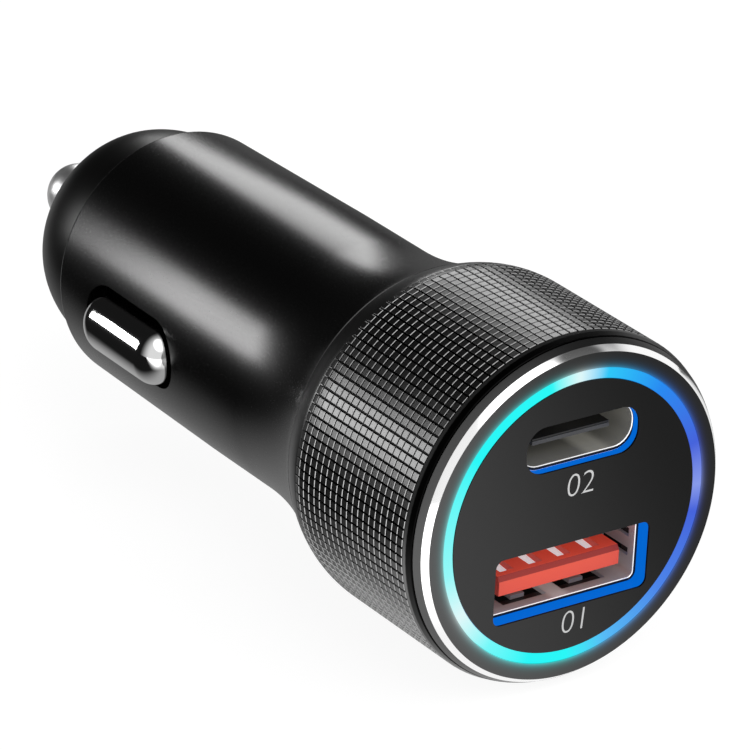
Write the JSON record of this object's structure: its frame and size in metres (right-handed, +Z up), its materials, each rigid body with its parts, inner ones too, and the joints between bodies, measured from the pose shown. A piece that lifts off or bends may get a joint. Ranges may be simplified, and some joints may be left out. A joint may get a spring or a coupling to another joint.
{
  "type": "car charger plug",
  "caption": "Charger plug for a car's power socket: knurled head with a light ring around its charging ports, flared barrel, sprung side contacts and a sprung centre tip.",
  "frame": {"origin": "on the plug's axis where the flare ends and the straight barrel begins, as deep as the plug goes into its socket", "axes": "+Y along the axis towards the centre contact, -Y out of the charging ports, +Z up from the lower, square port to the upper, oval one"},
  "size_m": [0.0268, 0.0682, 0.0268],
  "materials": {
    "satin_black": "satin moulded, fine grain",
    "grip_metal": "black anodised, cut knurl",
    "bezel_metal": "black anodised with a bright cut chamfer",
    "face_black": "semi-gloss",
    "light_guide": "clear to milky, lit from behind",
    "board_black": "black solder mask",
    "light_chip": "phosphor",
    "port_steel": "tin plated sheet",
    "port_orange": "moulded",
    "port_black": "moulded",
    "contact_gold": "gold plated",
    "board_green": "green solder mask",
    "ferrite": "pressed ferrite",
    "chip_black": "moulded",
    "can_blue": "sleeved can",
    "carrier_white": "moulded",
    "brass_strip": "bare",
    "cap_black": "semi-gloss moulded",
    "nickel": "bright nickel",
    "spring_steel": "drawn wire"
  },
  "bodies": {
    "housing": {"barrel_shell": "satin_black", "grip_sleeve": "grip_metal", "front_bezel": "bezel_metal", "face_plate": "face_black", "light_guide": "light_guide", "led_board": "board_black", "led_1": "light_chip", "led_2": "light_chip", "led_3": "light_chip", "led_4": "light_chip", "led_5": "light_chip", "led_6": "light_chip", "usb_a_shell": "port_steel", "usb_a_tongue": "port_orange", "usb_a_contact_1": "contact_gold", "usb_a_contact_2": "contact_gold", "usb_a_contact_3": "contact_gold", "usb_a_contact_4": "contact_gold", "usb_c_shell": "port_steel", "usb_c_tongue": "port_black", "usb_c_mid_plate": "port_steel", "usb_c_board": "board_green", "board_pin_1": "contact_gold", "board_pin_2": "contact_gold", "main_board": "board_green", "power_inductor": "ferrite", "converter_chip": "chip_black", "port_chip": "chip_black", "capacitor_1": "can_blue", "capacitor_2": "can_blue", "contact_carrier": "carrier_white", "ground_terminal": "brass_strip", "centre_terminal": "brass_strip", "nose_cap": "cap_black", "centre_spring": "spring_steel", "ground_spring_left": "spring_steel", "ground_spring_right": "spring_steel"},
    "centre_tip": {"centre_contact": "nickel"},
    "left_contact": {"ground_contact_left": "nickel"},
    "right_contact": {"ground_contact_right": "nickel"}
  },
  "joints": [
    {"name": "centre_contact_slide", "type": "slide", "parent": "housing", "child": "centre_tip", "axis": [0, -1, 0], "range_m": [0, 0.0035], "stiffness_N_per_m": 600, "springref_m": -0.002, "deforming": ["centre_spring"]},
    {"name": "left_contact_slide", "type": "slide", "parent": "housing", "child": "left_contact", "axis": [0.9976, 0, 0.0698], "range_m": [0, 0.0016], "stiffness_N_per_m": 600, "springref_m": -0.002, "deforming": ["ground_spring_left"]},
    {"name": "right_contact_slide", "type": "slide", "parent": "housing", "child": "right_contact", "axis": [-0.9976, 0, -0.0698], "range_m": [0, 0.0016], "stiffness_N_per_m": 600, "springref_m": -0.002, "deforming": ["ground_spring_right"]}
  ]
}
